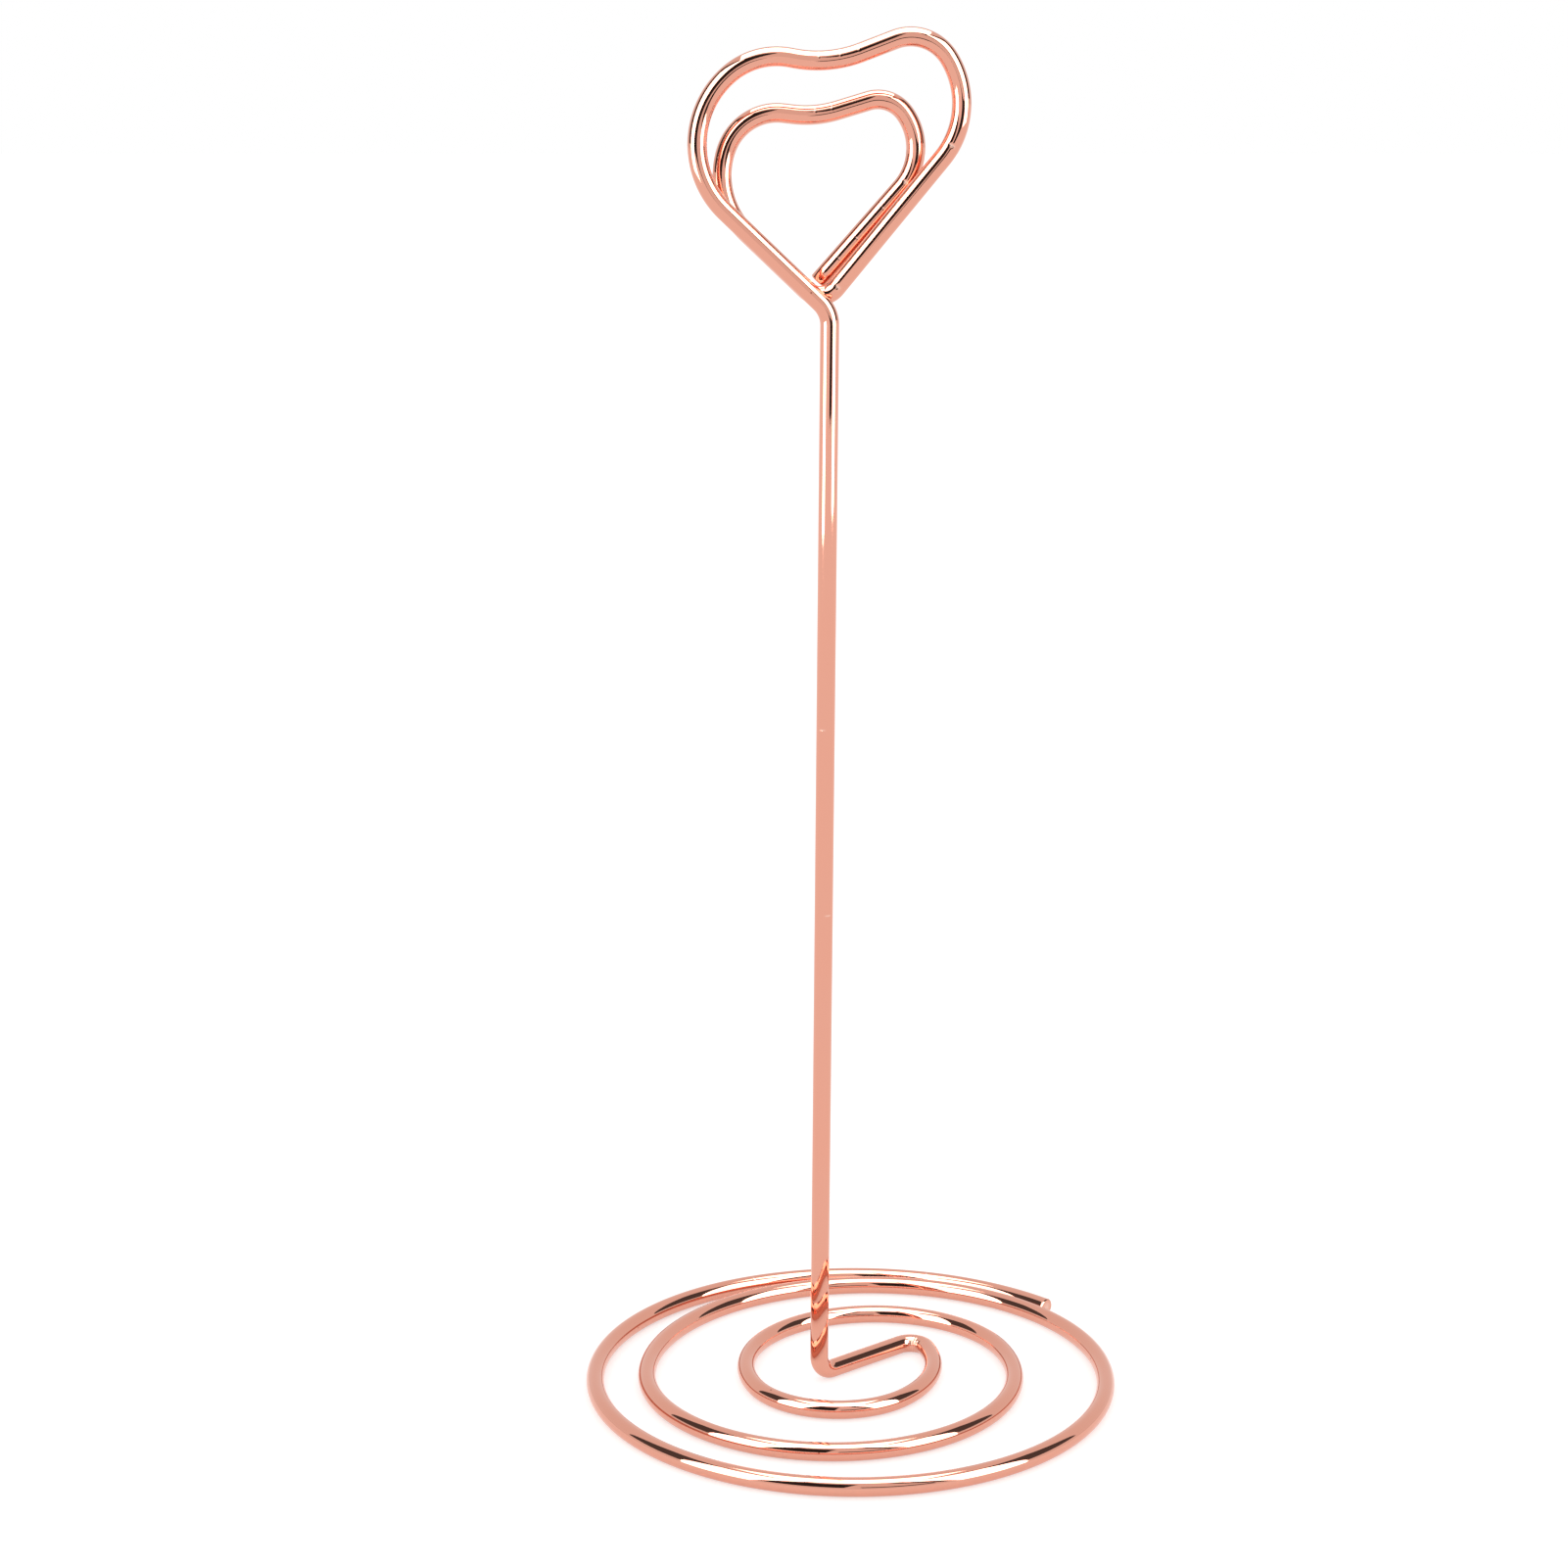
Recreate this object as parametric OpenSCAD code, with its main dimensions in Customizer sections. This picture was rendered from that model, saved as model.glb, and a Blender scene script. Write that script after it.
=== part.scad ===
// Memo clip holder bent from a single round wire
// The wire lies flat in widening turns that make the base, rises as a straight stem
// and ends in two nested hearts, one behind the other, that hold a card between them
// Z is up, the front looks towards -Y, the middle of the base is the origin, sizes are in mm

/* [Wire] */
// Thickness of the wire
wire_d = 2.8; // [2:0.1:3]
// Bevel around the two cut ends
end_bevel = 0.2; // [0.1:0.05:0.5]

/* [Leg under the stem] */
// Length of the straight leg from the foot of the stem to the sharp bend
leg_len = 16.9; // [14:0.1:18]
// Direction of the leg in plan, counted from straight right towards the back
leg_dir = 40; // [30:1:50]
// Radius of the bend at the foot of the stem
foot_r = 2.7; // [2.2:0.1:5]
// Radius of the sharp bend between the leg and the first turn
sharp_r = 2.6; // [2.2:0.1:3.5]
// Angle of the sharp bend
sharp_turn = 113; // [105:1:116]

/* [Base turns, from the inside out] */
// Radius of the run that leads from the sharp bend into the inner turn
lead_r = 19.5; // [17:0.5:24]
// Angle of the lead run
lead_turn = 60; // [54:1:64]
// Radius of the inner turn
inner_r = 13.6; // [12:0.1:16]
// Angle of the inner turn
inner_turn = 114; // [108:1:118]
// Growth in radius from the inner turn to the front run
front_step = 7.1; // [6:0.1:8]
// Angle of the front run
front_turn = 185; // [178:1:190]
// Growth in radius from the front run to the middle turn
mid_step = 7.9; // [7:0.1:9]
// Angle of the middle turn
mid_turn = 199; // [192:1:204]
// Growth in radius from the middle turn to the wide turn
wide_step = 7; // [6.5:0.1:9]
// Angle of the wide turn
wide_turn = 172; // [166:1:178]
// Growth in radius from the wide turn to the rim
rim_step = 4; // [3.8:0.1:5]
// Angle of the rim
rim_turn = 254; // [240:1:260]
// Growth in radius from the rim to the tail
tail_step = 3.7; // [3.4:0.1:8]
// Angle of the tail
tail_turn = 68; // [50:1:70]
// Straight length at the cut end of the tail
tail_end = 1; // [0.5:0.1:4]

/* [Stem] */
// Length of the stem from its foot corner to its top corner
stem_len = 164; // [120:1:220]
// Lean of the stem to the right
stem_lean = 0.4; // [0:0.1:3]
// Angle of the bend at the top of the stem
top_turn = 47; // [42:1:52]
// Radius of the bend at the top of the stem
top_r = 4.4; // [3:0.1:6]

/* [Front heart] */
// Length of the lower left side from the top of the stem to the left lobe
front_diag = 20.6; // [18:0.1:24]
// Radius of the left lobe's side
front_left_r = 12.9; // [12:0.1:14.5]
// Angle of the left lobe's side
front_left_turn = 97; // [92:1:100]
// Radius of the left lobe's crest
front_crest_r = 10.5; // [9.5:0.1:12]
// Angle of the left lobe's crest
front_crest_turn = 50; // [46:1:54]
// Straight length from the left lobe into the dip
front_fall = 0.6; // [0.4:0.1:2]
// Radius of the dip between the lobes
front_dip_r = 18; // [15:0.5:22]
// Angle of the dip
front_dip_turn = 31; // [28:1:34]
// Straight length from the dip up to the right lobe
front_rise = 5; // [4:0.1:6.5]
// Radius of the right lobe's crest
front_right_r = 6.5; // [5.5:0.1:8]
// Angle of the right lobe's crest
front_right_turn = 78; // [74:1:82]
// Radius of the right lobe's side
front_side_r = 12; // [10.5:0.1:13.5]
// Angle of the right lobe's side
front_side_turn = 72; // [68:1:76]
// Length of the lower right side from the right lobe to the point of the heart
front_leg = 27; // [24:0.1:29]
// Radius of the bend at the point of the heart
point_r = 3; // [2.4:0.1:4]

/* [Rear heart] */
// Gap between the two hearts that grips a card
slot = 0.7; // [0.4:0.1:3]
// Length of the lower left side from the point of the heart to the left lobe
rear_diag = 15; // [13:0.1:17]
// Radius of the left lobe's side
rear_left_r = 11.2; // [10:0.1:12.5]
// Angle of the left lobe's side
rear_left_turn = 66; // [62:1:70]
// Radius of the left lobe's crest
rear_crest_r = 7.7; // [7:0.1:8.6]
// Angle of the left lobe's crest
rear_crest_turn = 77; // [73:1:81]
// Straight length from the left lobe into the dip
rear_fall = 1.5; // [0.5:0.1:2.5]
// Radius of the dip between the lobes
rear_dip_r = 16; // [14:0.5:18]
// Angle of the dip
rear_dip_turn = 23; // [20:1:26]
// Straight length from the dip up to the right lobe
rear_rise = 4.6; // [4:0.1:5.5]
// Radius of the right lobe's crest
rear_right_r = 4.8; // [4.2:0.1:5.5]
// Angle of the right lobe's crest
rear_right_turn = 70; // [66:1:74]
// Radius of the right lobe's side
rear_side_r = 8.4; // [7.5:0.1:9.2]
// Angle of the right lobe's side
rear_side_turn = 78; // [74:1:82]
// Length of the lower right side down to the cut end
rear_leg = 18; // [12:0.5:20]

/* [Hidden] */

wire_r = wire_d / 2;
// Each straight length is carried this far into the bends it joins
seat = 0.05;
// Bends are drawn this much thinner, so that a straight length always covers their ends
hair = 0.02;
// No single bend turns further than this, longer ones are drawn in equal parts
most_turn = 100;
// Part of a bend between two points that measure the base
stride = 0.05;
section_fn = 16;
bend_fn = 45;

front_r = inner_r + front_step;
mid_r = front_r + mid_step;
wide_r = mid_r + wide_step;
rim_r = wide_r + rim_step;
tail_r = rim_r + tail_step;

// The rear heart starts in the direction in which the front heart started
point_turn = 360 - front_left_turn - front_crest_turn + front_dip_turn - front_right_turn - front_side_turn;

function heading(h, slope) = [cos(slope) * cos(h), cos(slope) * sin(h), sin(slope)];
function unit(v) = v / norm(v);
function bend_angle(a, b) = acos(min(1, a * b));
// Distance from the corner of two directions to the start of the bend that rounds it
function tangent(a, b, r) = r * tan(bend_angle(a, b) / 2);
// Direction across the wire that marks its seam, carried around the bend from a to b
function carried(seam, a, b) = seam - (seam * b) / (1 + a * b) * (a + b);
function total(list) = list * [for (value = list) 1];
function middle(list) = (min(list) + max(list)) / 2;

// A row is a straight length, the turn that follows it, to the left counted up, and its radius
function parts(rows) = [
    for (row = rows)
        let (count = max(1, ceil(abs(row[1]) / most_turn)))
            for (part = [1 : count])
                [part == 1 ? row[0] : 0, row[1] / count, row[2]]
];

// Start, direction and seam of each row, and of the place where the last one ends
function stations(rows, h, slope, p, seam, i = 0) =
    i == len(rows) ? [[p, h, seam]] :
    let (
        a = heading(h, slope),
        b = heading(h + rows[i][1], slope),
        t = tangent(a, b, rows[i][2]),
        next = p + rows[i][0] * a + t * (a + b)
    )
    concat(
        [[p, h, seam]],
        stations(rows, h + rows[i][1], slope, next, carried(seam, a, b), i + 1)
    );

// Point of a flat bend that starts at p in the direction h
function bend_point(p, h, turn, r) =
    p + r * sign(turn) * [sin(h + turn) - sin(h), cos(h) - cos(h + turn), 0];

// Length of the straight lines through the corners of a course
function corner_length(rows) = total([for (row = rows) row[0] + 2 * row[2] * tan(abs(row[1]) / 2)]);

leg_heading = heading(leg_dir, 0);
stem_heading = [sin(stem_lean), 0, cos(stem_lean)];
base_seam = [0, 0, 1];
foot_seam = carried(base_seam, -leg_heading, stem_heading);
foot_t = tangent(-leg_heading, stem_heading, foot_r);

base_rows = parts([
    [leg_len - foot_t, -sharp_turn, sharp_r],
    [0, -lead_turn, lead_r],
    [0, -inner_turn, inner_r],
    [0, -front_turn, front_r],
    [0, -mid_turn, mid_r],
    [0, -wide_turn, wide_r],
    [0, -rim_turn, rim_r],
    [0, -tail_turn, tail_r],
    [tail_end, 0, 0],
]);
base_start = foot_t * leg_heading;
base_at = stations(base_rows, leg_dir, 0, base_start, base_seam);
base_points = [
    for (i = [0 : len(base_rows) - 1])
        for (u = [0 : stride : 1])
            bend_point(
                base_at[i][0] + base_rows[i][0] * heading(base_at[i][1], 0),
                base_at[i][1],
                u * base_rows[i][1],
                base_rows[i][2]
            )
];
middle_x = middle([for (p = base_points) p[0]]);
middle_y = middle([for (p = base_points) p[1]]);

// The hearts are laid out as seen from the front, x to the right, y up and z to the viewer
front_rows = parts([
    [front_diag, -front_left_turn, front_left_r],
    [0, -front_crest_turn, front_crest_r],
    [front_fall, front_dip_turn, front_dip_r],
    [front_rise, -front_right_turn, front_right_r],
    [0, -front_side_turn, front_side_r],
    [front_leg, 0, 0],
]);
// The hearts drift steadily to the rear, so that the rear one stands a slot behind the front one
drift = -asin((wire_d + slot) / corner_length(front_rows));
rise_dir = 90 - stem_lean;
diag_dir = rise_dir + top_turn;
front_end_dir = diag_dir - 360 + point_turn;
rear_dir = diag_dir - 360;

rise_heading = heading(rise_dir, 0);
diag_heading = heading(diag_dir, drift);
stem_seam = [foot_seam[0], foot_seam[2], -foot_seam[1]];
top_seam = carried(stem_seam, rise_heading, diag_heading);
top_t = tangent(rise_heading, diag_heading, top_r);
top_corner = stem_len * rise_heading;

front_end_heading = heading(front_end_dir, drift);
rear_heading = heading(rear_dir, drift);
point_t = tangent(front_end_heading, rear_heading, point_r);

heart_rows = parts([
    [front_diag - top_t, -front_left_turn, front_left_r],
    [0, -front_crest_turn, front_crest_r],
    [front_fall, front_dip_turn, front_dip_r],
    [front_rise, -front_right_turn, front_right_r],
    [0, -front_side_turn, front_side_r],
    [front_leg - point_t, -point_turn, point_r],
    [rear_diag - point_t, -rear_left_turn, rear_left_r],
    [0, -rear_crest_turn, rear_crest_r],
    [rear_fall, rear_dip_turn, rear_dip_r],
    [rear_rise, -rear_right_turn, rear_right_r],
    [0, -rear_side_turn, rear_side_r],
    [rear_leg, 0, 0],
]);
heart_start = top_corner + top_t * diag_heading;
heart_at = stations(heart_rows, diag_dir, drift, heart_start, top_seam);

module placed(x, y, z, p) {
    multmatrix([
        [x[0], y[0], z[0], p[0]],
        [x[1], y[1], z[1], p[1]],
        [x[2], y[2], z[2], p[2]],
        [0, 0, 0, 1],
    ])
        children();
}

// Straight length, seated in the bends at both ends
module rod(p, dir, seam, length) {
    placed(seam, cross(dir, seam), dir, p - seat * dir)
        cylinder(r = wire_r, h = length + 2 * seat, $fn = section_fn);
}

// Straight length with a bevelled cut end
module end_rod(p, dir, seam, length) {
    placed(seam, cross(dir, seam), dir, p - seat * dir)
        rotate_extrude($fn = section_fn)
            polygon([
                [0, 0],
                [wire_r, 0],
                [wire_r, seat + length - end_bevel],
                [wire_r - end_bevel, seat + length],
                [0, seat + length],
            ]);
}

// Bend that starts at p and turns from direction a to direction b
module bend(p, a, b, seam, r) {
    inward = unit(b - (a * b) * a);
    axis = cross(a, inward);
    placed(-inward, a, axis, p + r * inward)
        rotate_extrude(angle = bend_angle(a, b), $fn = bend_fn)
            translate([r, 0])
                rotate(atan2(seam * axis, -seam * inward))
                    circle(r = wire_r - hair, $fn = section_fn);
}

// Straight lengths and bends one after the other, the last row is a straight cut end
module course(rows, at, slope) {
    for (i = [0 : len(rows) - 1]) {
        p = at[i][0];
        a = heading(at[i][1], slope);
        b = heading(at[i + 1][1], slope);
        if (rows[i][1] == 0)
            end_rod(p, a, at[i][2], rows[i][0]);
        else {
            rod(p, a, at[i][2], rows[i][0]);
            bend(p + rows[i][0] * a, a, b, at[i][2], rows[i][2]);
        }
    }
}

module base() {
    course(base_rows, base_at, 0);
}

module foot() {
    bend(base_start, -leg_heading, stem_heading, base_seam, foot_r);
}

module stem() {
    rod(foot_t * rise_heading, rise_heading, stem_seam, stem_len - foot_t - top_t);
    bend(top_corner - top_t * rise_heading, rise_heading, diag_heading, stem_seam, top_r);
}

module hearts() {
    course(heart_rows, heart_at, drift);
}

module wire() {
    color([0.87, 0.62, 0.53])
        translate([-middle_x, -middle_y, wire_r]) {
            base();
            foot();
            rotate([90, 0, 0]) {
                stem();
                hearts();
            }
        }
}

wire();
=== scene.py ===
import math

import bpy
import numpy as np
from mathutils import Matrix, Vector


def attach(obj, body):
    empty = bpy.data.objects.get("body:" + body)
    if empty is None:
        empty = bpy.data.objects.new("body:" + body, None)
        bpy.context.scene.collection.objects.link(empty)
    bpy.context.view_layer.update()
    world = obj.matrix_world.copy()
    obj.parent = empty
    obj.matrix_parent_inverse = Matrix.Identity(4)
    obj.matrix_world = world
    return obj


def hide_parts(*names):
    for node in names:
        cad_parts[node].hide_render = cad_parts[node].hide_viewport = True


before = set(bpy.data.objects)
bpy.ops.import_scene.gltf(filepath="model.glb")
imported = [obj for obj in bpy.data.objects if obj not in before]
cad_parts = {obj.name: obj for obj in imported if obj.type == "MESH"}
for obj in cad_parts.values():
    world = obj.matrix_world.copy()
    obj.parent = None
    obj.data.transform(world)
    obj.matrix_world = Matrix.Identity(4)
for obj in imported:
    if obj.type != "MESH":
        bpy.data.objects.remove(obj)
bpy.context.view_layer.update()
print("frame loaded")

# Memo clip holder: one round rose gold wire, bent cold from end to end.
# Sizes are in mm until a mesh is written, and angles are in degrees.

# The camera stands 454.6 mm before the middle of the base and looks down on it.
camera = {
    "place": (-10.28, -454.59, 201.88),
    "down": 13.15,
    "lens": 71.96,
    "sensor": 36.0,
}


def addCamera(name, values):  # the frame is square, so one angle serves both ways
    data = bpy.data.cameras.new(name)
    data.lens = values["lens"]
    data.sensor_width = values["sensor"]
    data.clip_start = 0.01
    data.clip_end = 50.0
    obj = bpy.data.objects.new(name, data)
    bpy.context.collection.objects.link(obj)
    turn = Matrix.Rotation(math.radians(90 - values["down"]), 4, "X")
    obj.matrix_world = Matrix.Translation(Vector(values["place"]) / 1000) @ turn
    bpy.context.scene.camera = obj


addCamera("frontCamera", camera)
print("camera set")

# The wire's course. A row is a straight length, the turn to the left after it and that bend's radius.
wire = {
    "thickness": 2.8,
    "endBevel": 0.2,
    "sides": 40,
    "legLength": 16.9, "legDirection": 40.0, "footRadius": 2.7,
    "base": ((0, -113, 2.6), (0, -60, 19.5), (0, -114, 13.6), (0, -185, 20.7), (0, -199, 28.6),
             (0, -172, 35.6), (0, -254, 39.6), (0, -68, 43.3), (1.0, 0, 0)),
    "stemLength": 164.0, "stemLean": 0.4, "topTurn": 47.0, "topRadius": 4.4,
    "frontHeart": ((20.6, -97, 12.9), (0, -50, 10.5), (0.6, 31, 18.0), (5.0, -78, 6.5), (0, -72, 12.0)),
    "frontLeg": 27.0, "pointRadius": 3.0, "slot": 0.7,
    "rearHeart": ((15.0, -66, 11.2), (0, -77, 7.7), (1.5, 23, 16.0), (4.6, -70, 4.8), (0, -78, 8.4),
                  (18.0, 0, 0)),
}

# Marks left by the bending tools: distance from the base's cut end, the way that the marked side
# faces, half length along the wire, depth, and how far the plating is rubbed and painted paler, partly worn
# plating and partly a painted highlight for the marks' glints.
toolMarks = (
    (22.6, (0, -0.5, 1), 0.18, 0.012, 0.7), (52.5, (0, -0.5, 1), 0.16, 0.012, 0.6),
    (788.7, (0, -0.8, 0.6), 0.16, 0.02, 0.8), (791.9, (0, -0.8, 0.6), 0.15, 0.02, 0.7),
    (794.7, (0, -0.8, 0.6), 0.2, 0.03, 0.9), (821.6, (0, -1, 0), 0.22, 0.05, 0.9),
    (847.4, (0, -1, 0), 0.3, 0.05, 0.6), (892.3, (0, -0.8, 0.6), 0.15, 0.02, 0.7),
    (894.8, (0, -0.8, 0.6), 0.16, 0.02, 0.8), (916.4, (0, -1, 0), 0.22, 0.05, 0.9),
    (921.3, (0, -1, 0.2), 0.12, 0.015, 0.7), (927.0, (0, -1, 0.2), 0.12, 0.015, 0.7),
    (930.9, (0, -1, 0.2), 0.12, 0.015, 0.6), (643.5, (0.5, -1, 0), 0.14, 0.012, 0.5),
    (672.0, (-0.4, -1, 0), 0.12, 0.01, 0.5),
)


def heading(turn, slope=0.0):  # (cos s cos t, cos s sin t, sin s) for turn t and slope s
    turn, slope = math.radians(turn), math.radians(slope)
    return np.array([math.cos(slope) * math.cos(turn), math.cos(slope) * math.sin(turn), math.sin(slope)])


def cornerLength(a, b, radius):  # radius x tan(half the angle between a and b)
    return radius * math.tan(math.acos(min(1.0, float(a @ b))) / 2)


def rowPieces(rows, turn, slope, p):  # straight lengths and arcs in turn, arcs of 100 degrees at most
    pieces = []
    for length, angle, radius in rows:
        if length > 0:
            pieces.append((p, heading(turn, slope), np.zeros(3), 0.0, length))
            p = p + length * heading(turn, slope)
        count = math.ceil(abs(angle) / 100)
        for _ in range(count):
            a, b = heading(turn, slope), heading(turn + angle / count, slope)
            pieces.append(arcPiece(p, a, b, radius))
            p = p + cornerLength(a, b, radius) * (a + b)
            turn += angle / count
    return pieces, p


def arcPiece(p, a, b, radius):  # the arc that turns from a to b, with its centre on the side of b - (a.b) a
    inward = b - (a @ b) * a
    inward = inward / np.linalg.norm(inward)
    return p, a, inward, 1 / radius, radius * math.acos(min(1.0, float(a @ b)))


def arcFrame(t, p, a, inward, bow):
    # p + sin(kt)/k a + (1 - cos kt)/k inward, and cos kt a + sin kt inward, with k = bow
    k = np.where(bow > 0, bow, 1.0)
    u = k * t
    bent = bow > 0
    reach = np.where(bent, np.sin(u) / k, t)
    rise = np.where(bent, (1 - np.cos(u)) / k, 0.0)
    cos, sin = np.where(bent, np.cos(u), 1.0), np.where(bent, np.sin(u), 0.0)
    point = p + reach[:, None] * a + rise[:, None] * inward
    return point, cos[:, None] * a + sin[:, None] * inward, cos[:, None] * inward - sin[:, None] * a


def turnedRound(piece):  # the same piece run from its far end
    p, a, inward, bow, length = piece
    point, way, side = arcFrame(np.array([length]), p, a, inward, np.array([bow]))
    return point[0], -way[0], side[0] if bow else inward, bow, length


def stoodUp(piece):  # from the plane of the hearts, z towards the viewer, to the room
    p, a, inward, bow, length = piece
    up = np.array([[1, 0, 0], [0, 0, -1], [0, 1, 0]])
    return up @ p, up @ a, up @ inward, bow, length


def wirePieces(w):  # from the base's cut end to the cut end behind the front heart
    leg = heading(w["legDirection"])
    lean = math.radians(w["stemLean"])
    stem = np.array([math.sin(lean), 0, math.cos(lean)])
    footGap = cornerLength(-leg, stem, w["footRadius"])
    rows = ((w["legLength"] - footGap,) + w["base"][0][1:],) + w["base"][1:]
    base, _ = rowPieces(rows, w["legDirection"], 0, footGap * leg)
    foot = arcPiece(footGap * leg, -leg, stem, w["footRadius"])

    front, rear = w["frontHeart"], w["rearHeart"]
    rise = 90 - w["stemLean"]
    side = rise + w["topTurn"]
    parted = [(row, math.ceil(abs(row[1]) / 100)) for row in front]
    reach = w["frontLeg"] + sum(
        row[0] + n * 2 * row[2] * math.tan(math.radians(abs(row[1]) / n / 2)) for row, n in parted)
    drift = -math.degrees(math.asin((w["thickness"] + w["slot"]) / reach))
    pointTurn = 360 + sum(row[1] for row in front)
    a, b = heading(rise), heading(side, drift)
    topGap = cornerLength(a, b, w["topRadius"])
    pointGap = cornerLength(heading(side - 360 + pointTurn, drift), b, w["pointRadius"])
    upright = [(footGap * a, a, np.zeros(3), 0.0, w["stemLength"] - footGap - topGap),
               arcPiece((w["stemLength"] - topGap) * a, a, b, w["topRadius"])]
    rows = ((front[0][0] - topGap,) + front[0][1:],) + front[1:] + (
        (w["frontLeg"] - pointGap, -pointTurn, w["pointRadius"]),
        (rear[0][0] - pointGap,) + rear[0][1:]) + rear[1:]
    hearts, _ = rowPieces(rows, side, drift, w["stemLength"] * a + topGap * b)

    pieces = [turnedRound(piece) for piece in reversed(base)] + [foot]
    pieces += [stoodUp(piece) for piece in upright + hearts]
    ends = [arcFrame(np.linspace(0, piece[4], 60), *piece[:3], np.full(60, piece[3]))[0] for piece in base]
    middle = (np.vstack(ends).min(0) + np.vstack(ends).max(0)) / 2
    middle[2] = -w["thickness"] / 2
    return [(piece[0] - middle,) + piece[1:] for piece in pieces]


def stations(pieces, marks):  # distances along the wire where a ring stands, closer in bends and at the marks
    starts = np.cumsum([0] + [piece[4] for piece in pieces])
    gaps = [min(0.6, 0.08 + 0.02 / piece[3]) if piece[3] else 2.0 for piece in pieces]
    even = [np.linspace(starts[i], starts[i + 1], max(5, math.ceil(piece[4] / gaps[i])) + 1)
            for i, piece in enumerate(pieces)]
    near = [mark[0] + mark[2] * np.linspace(-2.4, 2.4, 13) for mark in marks]
    s = np.unique(np.round(np.concatenate(even + near), 4))
    keep = np.concatenate([[True], np.diff(s) > 0.012])
    keep[-1] = True
    return s[keep], starts


def alongWire(pieces, marks):
    # every ring's centre, its way, a direction across that turns with the wire, and the bend's inside
    s, starts = stations(pieces, marks)
    which = np.clip(np.searchsorted(starts, s, side="right") - 1, 0, len(pieces) - 1)
    across = [np.array([0.0, 0.0, 1.0])]
    for p, a, inward, bow, length in pieces:  # across keeps its part along each bend's axis
        axis = np.cross(a, inward)
        _, way, side = arcFrame(np.array([length]), p, a, inward, np.array([bow]))
        first = across[-1]
        across.append((first @ axis) * axis + (first @ inward) * side[0] if bow else first)
    p, a, inward = (np.stack([piece[i] for piece in pieces])[which] for i in range(3))
    bow = np.array([piece[3] for piece in pieces])[which]
    first = np.stack(across[:-1])[which]
    point, way, side = arcFrame(s - starts[which], p, a, inward, bow)
    axis = np.cross(a, inward)
    turned = (first * axis).sum(1)[:, None] * axis + (first * inward).sum(1)[:, None] * side
    return s, point, way, np.where(bow[:, None] > 0, turned, first), side


pieces = wirePieces(wire)
along, centre, way, across, inside = alongWire(pieces, toolMarks)
print("course laid out:", len(pieces), "pieces,", len(along), "rings,", round(float(along[-1])), "mm of wire")

# The plating is polished, with faint lengthwise lines from the drawing of the wire.
plating = {
    "colour": (0.70, 0.335, 0.25, 1.0), "warmColour": (0.72, 0.325, 0.235, 1.0),
    # the paler colour is partly worn plating and partly a painted highlight at the tool marks
    "rubbedAndHighlightColour": (0.86, 0.62, 0.52, 1.0), "speckColour": (0.32, 0.11, 0.07, 1.0),
    "roughness": 0.035, "lineRoughness": 0.035, "rubbedRoughness": 0.3,
    "lineHeight": 0.0006, "lineGap": 0.16, "waveHeight": 0.002, "waveGap": 2.2,
    "speckGap": 5.0, "speckSize": 0.035,
}


def newMaterial(name):
    material = bpy.data.materials.new(name)
    material.use_nodes = True
    return material, material.node_tree.nodes, material.node_tree.links


def addNode(nodes, kind, place, settings=(), inputs=()):  # a node at a place of the editor
    node = nodes.new(kind)
    node.location = place
    for key, value in settings:
        setattr(node, key, value)
    for key, value in inputs:
        node.inputs[key].default_value = value
    return node


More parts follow.
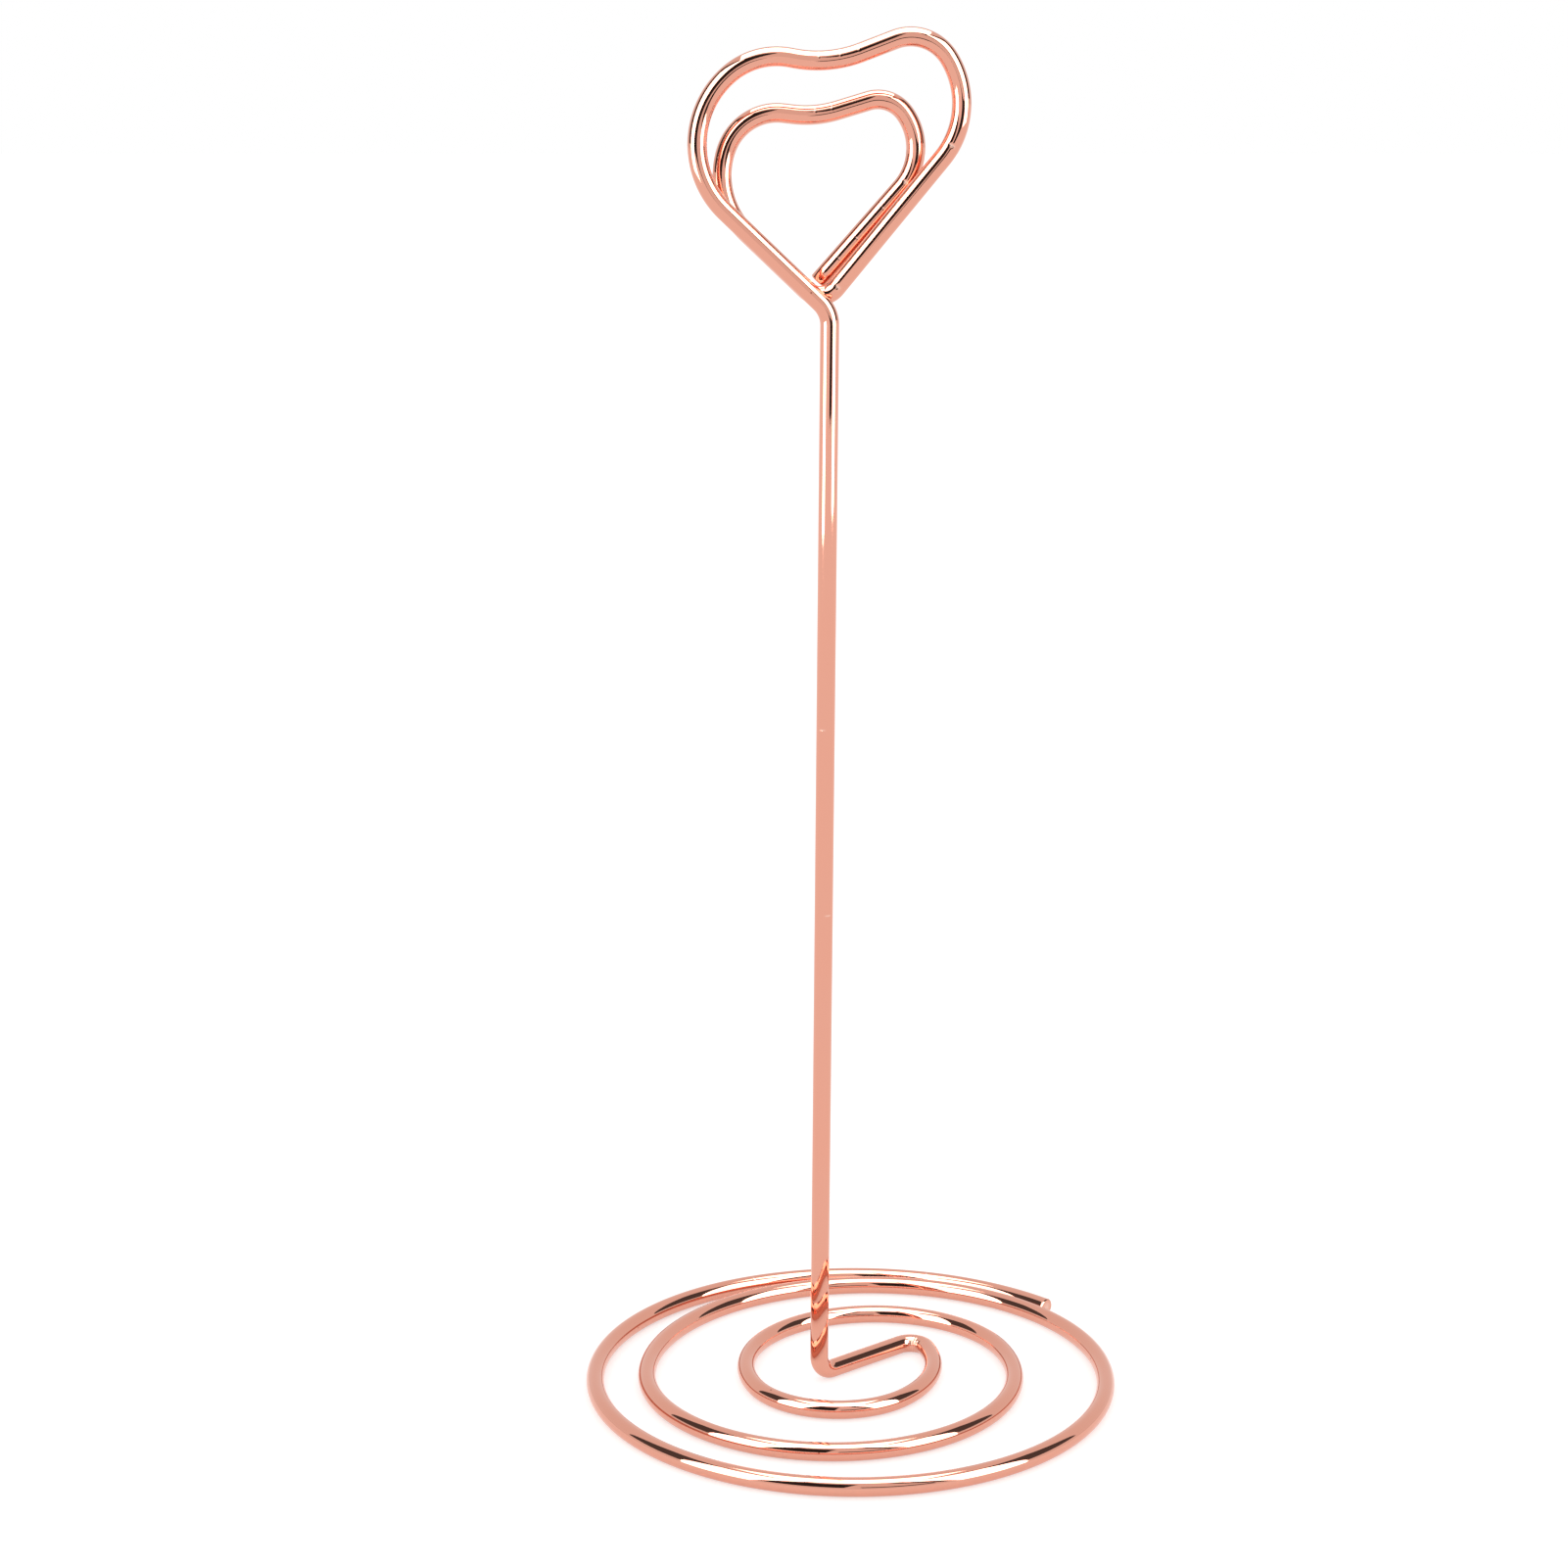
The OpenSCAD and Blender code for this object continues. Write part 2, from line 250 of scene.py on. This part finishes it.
def roseGoldPlating(values):
    material, nodes, links = newMaterial("roseGoldPlating")
    shader = nodes["Principled BSDF"]
    shader.location = (500, 0)
    shader.inputs["Metallic"].default_value = 1.0

    # the place on the wire as (radius cos v, radius sin v, distance along it), in mm
    drawn = addNode(nodes, "ShaderNodeAttribute", (-1300, 0), [("attribute_name", "drawn")])
    rubbedAndHighlight = addNode(nodes, "ShaderNodeAttribute", (-1300, -500), [("attribute_name", "rubbedAndHighlight")])
    stretched = addNode(nodes, "ShaderNodeMapping", (-1080, 120), [], [("Scale", (1.0, 1.0, 0.02))])
    links.new(drawn.outputs["Vector"], stretched.inputs["Vector"])

    lines = addNode(nodes, "ShaderNodeTexNoise", (-860, 220), [],
                    [("Scale", 1 / values["lineGap"] / 2), ("Detail", 3.0), ("Roughness", 0.6)])
    waves = addNode(nodes, "ShaderNodeTexNoise", (-860, -20), [],
                    [("Scale", 1 / values["waveGap"]), ("Detail", 1.0)])
    tint = addNode(nodes, "ShaderNodeTexNoise", (-860, 460), [], [("Scale", 0.06), ("Detail", 2.0)])
    specks = addNode(nodes, "ShaderNodeTexVoronoi", (-860, -260), [], [("Scale", 1 / values["speckGap"])])
    links.new(stretched.outputs["Vector"], lines.inputs["Vector"])
    for texture in (waves, tint, specks):
        links.new(drawn.outputs["Vector"], texture.inputs["Vector"])

    # colour: two close tones, paler where the plating is rubbed and as a painted highlight at the tool marks,
    # darker in the few specks
    tones = addNode(nodes, "ShaderNodeMix", (-600, 460), [("data_type", "RGBA")])
    tones.inputs["A"].default_value = values["colour"]
    tones.inputs["B"].default_value = values["warmColour"]
    links.new(tint.outputs["Fac"], tones.inputs["Factor"])
    speckMask = addNode(nodes, "ShaderNodeMapRange", (-600, -260), [],
                        [("From Min", values["speckSize"]), ("From Max", values["speckSize"] * 0.6)])
    links.new(specks.outputs["Distance"], speckMask.inputs["Value"])
    speckled = addNode(nodes, "ShaderNodeMix", (-360, 420), [("data_type", "RGBA")])
    speckled.inputs["B"].default_value = values["speckColour"]
    links.new(speckMask.outputs["Result"], speckled.inputs["Factor"])
    links.new(tones.outputs["Result"], speckled.inputs["A"])
    pale = addNode(nodes, "ShaderNodeMix", (-120, 380), [("data_type", "RGBA")])
    pale.inputs["B"].default_value = values["rubbedAndHighlightColour"]
    links.new(rubbedAndHighlight.outputs["Fac"], pale.inputs["Factor"])
    links.new(speckled.outputs["Result"], pale.inputs["A"])
    links.new(pale.outputs["Result"], shader.inputs["Base Color"])

    # roughness: the drawn lines, then the rubbed places
    lineShine = addNode(nodes, "ShaderNodeMapRange", (-600, 200), [],
                        [("From Min", 0.45), ("From Max", 0.8), ("To Min", values["roughness"]),
                         ("To Max", values["roughness"] + values["lineRoughness"])])
    links.new(lines.outputs["Fac"], lineShine.inputs["Value"])
    dull = addNode(nodes, "ShaderNodeMix", (-120, 120), [("data_type", "FLOAT")],
                   [("B", values["rubbedRoughness"])])
    links.new(rubbedAndHighlight.outputs["Fac"], dull.inputs["Factor"])
    links.new(lineShine.outputs["Result"], dull.inputs["A"])
    links.new(dull.outputs["Result"], shader.inputs["Roughness"])

    # relief: fine lines over long shallow waves, heights in metres
    fine = addNode(nodes, "ShaderNodeBump", (60, -200), [],
                   [("Strength", 1.0), ("Distance", values["lineHeight"] / 1000)])
    broad = addNode(nodes, "ShaderNodeBump", (-160, -320), [],
                    [("Strength", 1.0), ("Distance", values["waveHeight"] / 1000)])
    links.new(waves.outputs["Fac"], broad.inputs["Height"])
    links.new(lines.outputs["Fac"], fine.inputs["Height"])
    links.new(broad.outputs["Normal"], fine.inputs["Normal"])
    links.new(fine.outputs["Normal"], shader.inputs["Normal"])
    return material


# The sharp bend of the base was nipped by the tool: its inner side is wrinkled over these lengths.
# Between the wrinkles the plating is painted paler: partly worn, partly a painted highlight on the crests.
nippedBend = {"from": 547.6, "to": 552.6, "fade": 1.2, "gap": 0.62, "depth": 0.045, "rubbedAndHighlight": 0.25}
# The point of the front heart is pressed a little flat.
pointFlat = {"place": 849.6, "facing": (0.15, -1, 0.25), "halfLength": 1.5, "depth": 0.1}


def toolRelief(s, outward, marks, nipped, flat, inward):
    # depth = sum of d exp(-((s - s0) / l)^2) f^2, f how squarely the side faces; wrinkles d sin^2(pi s / gap)
    depth = np.zeros(outward.shape[:2])
    rubbedAndHighlight = np.zeros(outward.shape[:2])
    for place, facing, half, deep, bareAndHighlight in marks:
        toward = np.array(facing) / np.linalg.norm(facing)
        squarely = np.clip((outward @ toward - 0.91) / 0.09, 0, 1)
        mask = np.exp(-((s - place) / half) ** 2)[:, None] * squarely ** 0.7
        depth += deep * mask
        # the marks are painted paler: partly worn plating, partly a painted highlight
        rubbedAndHighlight = np.maximum(rubbedAndHighlight, bareAndHighlight * mask ** 1.3)
    window = np.clip(np.minimum(s - nipped["from"], nipped["to"] - s) / nipped["fade"], 0, 1)[:, None]
    inner = np.clip((outward * inward[:, None]).sum(2) * 1.25 - 0.1, 0, 1)
    ripple = np.sin(math.pi * s / nipped["gap"])[:, None] ** 2
    depth += nipped["depth"] * window * inner * ripple
    # paler between the wrinkles: partly worn plating, partly a painted highlight on the crests
    rubbedAndHighlight = np.maximum(rubbedAndHighlight, nipped["rubbedAndHighlight"] * window * inner * (1 - ripple))
    toward = np.array(flat["facing"]) / np.linalg.norm(flat["facing"])
    squarely = np.clip((outward @ toward - 0.5) / 0.5, 0, 1)
    depth += flat["depth"] * np.exp(-((s - flat["place"]) / flat["halfLength"]) ** 2)[:, None] * squarely
    return depth, rubbedAndHighlight


def wireSkin(name, w, s, centre, way, across, inward, material):
    # a circle carried along the course: centre + (r - depth) (cos v across + sin v beside)
    sides, radius, bevel = w["sides"], w["thickness"] / 2, w["endBevel"]
    v = np.arange(sides) * 2 * math.pi / sides
    beside = np.cross(way, across)
    outward = np.cos(v)[None, :, None] * across[:, None] + np.sin(v)[None, :, None] * beside[:, None]
    depth, rubbedAndHighlight = toolRelief(s, outward, toolMarks, nippedBend, pointFlat, inward)
    body = centre[:, None] + (radius - depth)[:, :, None] * outward
    body[0] += bevel * way[0]
    body[-1] -= bevel * way[-1]
    first = centre[0] + (radius - bevel) * outward[:1]
    last = centre[-1] + (radius - bevel) * outward[-1:]
    rings = np.concatenate([first, body, last])
    count = len(rings)
    verts = np.concatenate([rings.reshape(-1, 3), centre[:1], centre[-1:]]) / 1000

    i, j = np.meshgrid(np.arange(count - 1), np.arange(sides), indexing="ij")
    k = (j + 1) % sides
    quads = np.stack([i * sides + j, i * sides + k, (i + 1) * sides + k, (i + 1) * sides + j], -1)
    quads = quads.reshape(-1, 4)
    edge, after = np.arange(sides), (np.arange(sides) + 1) % sides
    startFan = np.stack([np.full(sides, count * sides), after, edge], 1)
    lastRing = (count - 1) * sides
    endFan = np.stack([np.full(sides, count * sides + 1), lastRing + edge, lastRing + after], 1)
    mesh = bpy.data.meshes.new(name)
    mesh.from_pydata(verts.tolist(), [], quads.tolist() + startFan.tolist() + endFan.tolist())
    smooth = np.ones(len(mesh.polygons), dtype=bool)
    smooth[len(quads):] = False
    mesh.polygons.foreach_set("use_smooth", smooth)

    # what the plating reads: the place on the unrolled wire, and the paler spots, worn plating and a painted
    # highlight
    level = np.concatenate([s[:1] - bevel, s, s[-1:] + bevel])
    unrolled = np.empty((count, sides, 3))
    unrolled[..., 0], unrolled[..., 1] = radius * np.cos(v), radius * np.sin(v)
    unrolled[..., 2] = level[:, None]
    tips = np.array([[0, 0, level[0]], [0, 0, level[-1]]])
    drawn = mesh.attributes.new("drawn", "FLOAT_VECTOR", "POINT")
    places = np.concatenate([unrolled.reshape(-1, 3), tips]).astype(np.float32)
    drawn.data.foreach_set("vector", places.ravel())
    bareAndHighlight = np.concatenate([rubbedAndHighlight[:1], rubbedAndHighlight, rubbedAndHighlight[-1:]])
    wornAndHighlight = mesh.attributes.new("rubbedAndHighlight", "FLOAT", "POINT")
    wornAndHighlight.data.foreach_set("value", np.concatenate([bareAndHighlight.ravel(), [0.6, 0.6]]).astype(np.float32))
    mesh.materials.append(material)
    mesh.update()
    obj = bpy.data.objects.new(name, mesh)
    bpy.context.collection.objects.link(obj)
    return obj


holder = wireSkin("bentWire", wire, along, centre, way, across, inside, roseGoldPlating(plating))
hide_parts("wire")
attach(holder, "root")
print("wire made:", len(holder.data.polygons), "faces")

# The paper is a little past white for the camera and in the polish, and keeps the wire's shadow.
floor = {"reach": 6.0, "colour": (0.6, 0.6, 0.6, 1.0), "lift": 0.55}


def addFloor(values):
    # a level square, with a glow of lift where a camera, glossy or transmission ray meets it
    reach = values["reach"]
    mesh = bpy.data.meshes.new("floor")
    corners = [(-reach, -reach, 0), (reach, -reach, 0), (reach, reach, 0), (-reach, reach, 0)]
    mesh.from_pydata(corners, [], [(0, 1, 2, 3)])
    material, nodes, links = newMaterial("floorPaper")
    shader = nodes["Principled BSDF"]
    shader.inputs["Base Color"].default_value = values["colour"]
    shader.inputs["Roughness"].default_value = 1.0
    shader.inputs["Specular IOR Level"].default_value = 0.0
    shader.inputs["Emission Color"].default_value = (1, 1, 1, 1)
    ray = addNode(nodes, "ShaderNodeLightPath", (-700, -200))
    seen = addNode(nodes, "ShaderNodeMath", (-480, -200), [("operation", "ADD"), ("use_clamp", True)])
    glossy = addNode(nodes, "ShaderNodeMath", (-480, -380), [("operation", "ADD"), ("use_clamp", True)])
    lift = addNode(nodes, "ShaderNodeMath", (-260, -200), [("operation", "MULTIPLY")])
    lift.inputs[1].default_value = values["lift"]
    links.new(ray.outputs["Is Glossy Ray"], glossy.inputs[0])
    links.new(ray.outputs["Is Transmission Ray"], glossy.inputs[1])
    links.new(ray.outputs["Is Camera Ray"], seen.inputs[0])
    links.new(glossy.outputs["Value"], seen.inputs[1])
    links.new(seen.outputs["Value"], lift.inputs[0])
    links.new(lift.outputs["Value"], shader.inputs["Emission Strength"])
    mesh.materials.append(material)
    obj = bpy.data.objects.new("floor", mesh)
    bpy.context.collection.objects.link(obj)


addFloor(floor)

# A plain studio. Each soft box and wall stands in a direction from the stem (0 towards the camera,
# + to the right) at an elevation and a distance, and faces a point of the stem's axis that is aim high.
softBoxes = {
    "leftSoftBox": {"azimuth": -56, "elevation": 32, "distance": 540, "aim": 10,
                    "size": (340, 600), "brightness": 5.86},
    "rightSoftBox": {"azimuth": 58, "elevation": 32, "distance": 540, "aim": 10,
                     "size": (340, 600), "brightness": 5.86},
    "topSoftBox": {"azimuth": 0, "elevation": 88, "distance": 600, "aim": 20,
                   "size": (430, 520), "brightness": 5.09},
}
walls = {  # the dark side of the room, behind the camera and round the soft boxes
    "leftWall": {"azimuth": -70, "elevation": 32, "distance": 590, "aim": 150,
                 "size": (910, 600), "brightness": 0.1},
    "rightWall": {"azimuth": 71, "elevation": 32, "distance": 590, "aim": 150,
                  "size": (910, 600), "brightness": 0.1},
    "frontWall": {"azimuth": -24, "elevation": 22, "distance": 700, "aim": 190,
                  "size": (560, 560), "brightness": 0.03},
    "lowWall": {"azimuth": 18, "elevation": -8, "distance": 440, "aim": 195,
                "size": (230, 70), "brightness": 0.03},
}


def studioPlace(values):
    # aim + distance x (cos e sin a, -cos e cos a, sin e), and the turn that makes a piece face the stem
    a, e = math.radians(values["azimuth"]), math.radians(values["elevation"])
    toward = Vector((math.cos(e) * math.sin(a), -math.cos(e) * math.cos(a), math.sin(e)))
    middle = (toward * values["distance"] + Vector((0, 0, values["aim"]))) / 1000
    return middle, toward.to_track_quat("Z", "Y")


def addSoftBox(name, values):
    lamp = bpy.data.lights.new(name, "AREA")
    lamp.shape = "RECTANGLE"
    lamp.size, lamp.size_y = (side / 1000 for side in values["size"])
    lamp.energy = math.pi * values["brightness"] * lamp.size * lamp.size_y  # watts = pi x brightness x area
    obj = bpy.data.objects.new(name, lamp)
    middle, turn = studioPlace(values)
    obj.location, obj.rotation_euler = middle, turn.to_euler()
    obj.visible_camera = obj.visible_diffuse = False  # the even white room lights the floor
    bpy.context.collection.objects.link(obj)


def addWall(name, values):
    # a flat card, middle + the turned (x, y, 0); only the polish shows it, not the camera or the floor
    middle, turn = studioPlace(values)
    x, y = (side / 2000 for side in values["size"])
    corners = [middle + turn @ Vector(corner) for corner in ((-x, -y, 0), (x, -y, 0), (x, y, 0), (-x, y, 0))]
    mesh = bpy.data.meshes.new(name)
    mesh.from_pydata(corners, [], [(0, 1, 2, 3)])
    material, nodes, links = newMaterial(name)
    glow = addNode(nodes, "ShaderNodeEmission", (0, 200), [],
                   [("Color", (1, 1, 1, 1)), ("Strength", values["brightness"])])
    nodes.remove(nodes["Principled BSDF"])
    links.new(glow.outputs["Emission"], nodes["Material Output"].inputs["Surface"])
    mesh.materials.append(material)
    obj = bpy.data.objects.new(name, mesh)
    bpy.context.collection.objects.link(obj)
    obj.visible_camera = obj.visible_diffuse = obj.visible_shadow = False


for name, values in softBoxes.items():
    addSoftBox(name, values)
for name, values in walls.items():
    addWall(name, values)
world = bpy.data.worlds.new("whiteRoom")
bpy.context.scene.world = world
world.use_nodes = True
world.node_tree.nodes["Background"].inputs["Color"].default_value = (1, 1, 1, 1)
world.node_tree.nodes["Background"].inputs["Strength"].default_value = 1.0
bpy.context.scene.view_settings.view_transform = "Standard"
print("studio set")
